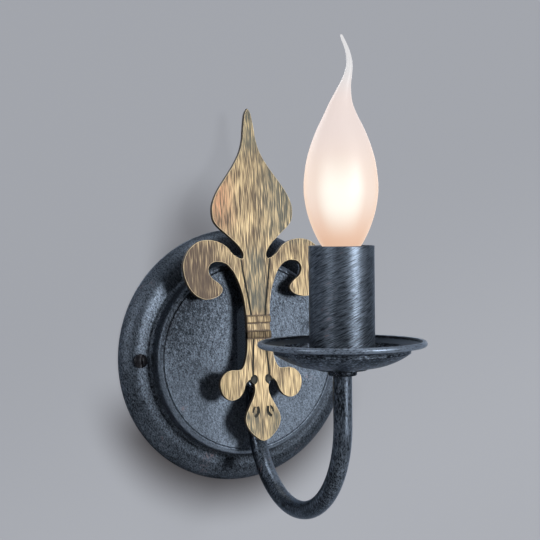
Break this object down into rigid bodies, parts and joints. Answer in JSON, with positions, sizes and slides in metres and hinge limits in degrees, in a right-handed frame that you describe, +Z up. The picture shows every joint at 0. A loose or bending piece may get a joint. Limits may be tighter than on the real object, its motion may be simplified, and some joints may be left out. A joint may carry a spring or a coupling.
{
  "type": "wall sconce",
  "caption": "Torch wall sconce: candle lamp over a round drip pan on a bent tube arm, with a fleur-de-lis plate in front of a round stepped canopy.",
  "frame": {"origin": "centre of the two wall slots, on the back face of the bracket, in the plane of the wall", "axes": "+Z up, +Y into the wall (the sconce stands out towards -Y), +X right as seen from the front"},
  "size_m": [0.135, 0.159, 0.2355],
  "materials": {
    "dark_steel": "near-black antiqued pewter, dry-brushed with bluish silver",
    "antique_gold": "antique brass gold, brushed over with upright dark green-black streaks",
    "dark_screw": "dark satin lacquer",
    "zinc_steel": "zinc plated",
    "brass": "plain turned brass",
    "black_plastic": "matt black moulded",
    "ivory_plastic": "translucent ivory moulded",
    "green_wire": "green and yellow insulation",
    "brown_wire": "brown insulation",
    "blue_wire": "blue insulation",
    "nickel": "nickel plated",
    "black_glass": "black vitreous insulator",
    "frosted_glass": "frosted, lit warm from inside",
    "clear_glass": "clear",
    "filament": "bare wire"
  },
  "bodies": {
    "fixture": {"wall_bracket": "zinc_steel", "inlet_bush": "black_plastic", "canopy": "dark_steel", "canopy_screws": "dark_screw", "terminal_block": "ivory_plastic", "terminal_sleeves": "brass", "terminal_screws": "zinc_steel", "block_screw": "zinc_steel", "earth_screw": "brass", "earth_tag": "zinc_steel", "earth_wire": "green_wire", "live_wire": "brown_wire", "neutral_wire": "blue_wire", "arm_block": "dark_steel", "block_nipple": "zinc_steel", "block_washer": "zinc_steel", "block_locknut": "zinc_steel", "fleur_plate": "antique_gold", "fleur_studs": "zinc_steel", "stud_washers": "zinc_steel", "stud_nuts": "zinc_steel", "arm_tube": "dark_steel", "arm_collar": "dark_steel", "pan_seat": "dark_steel", "drip_pan": "dark_steel", "pan_nut": "zinc_steel", "candle_sleeve": "dark_steel", "holder_base": "black_plastic", "holder_body": "black_plastic", "holder_shell": "brass", "holder_contact": "brass", "holder_terminals": "brass"},
    "lamp_lift": {"bulb_contact": "nickel"},
    "lamp": {"bulb_cap": "nickel", "bulb_insulator": "black_glass", "bulb_glass": "frosted_glass", "bulb_stem": "clear_glass", "bulb_filament": "filament"}
  },
  "joints": [
    {"name": "bulb_rise", "type": "slide", "parent": "fixture", "child": "lamp_lift", "axis": [0, 0, 1], "range_m": [0, 0.01125]},
    {"name": "bulb_turn", "type": "hinge", "parent": "lamp_lift", "child": "lamp", "pos_m": [0, -0.119, 0.06], "axis": [0, 0, 1], "range_deg": [0, 1440]}
  ],
  "couplings": [
    {"joint": "bulb_turn", "follows": "bulb_rise", "rad_per_m": 2228.1}
  ]
}
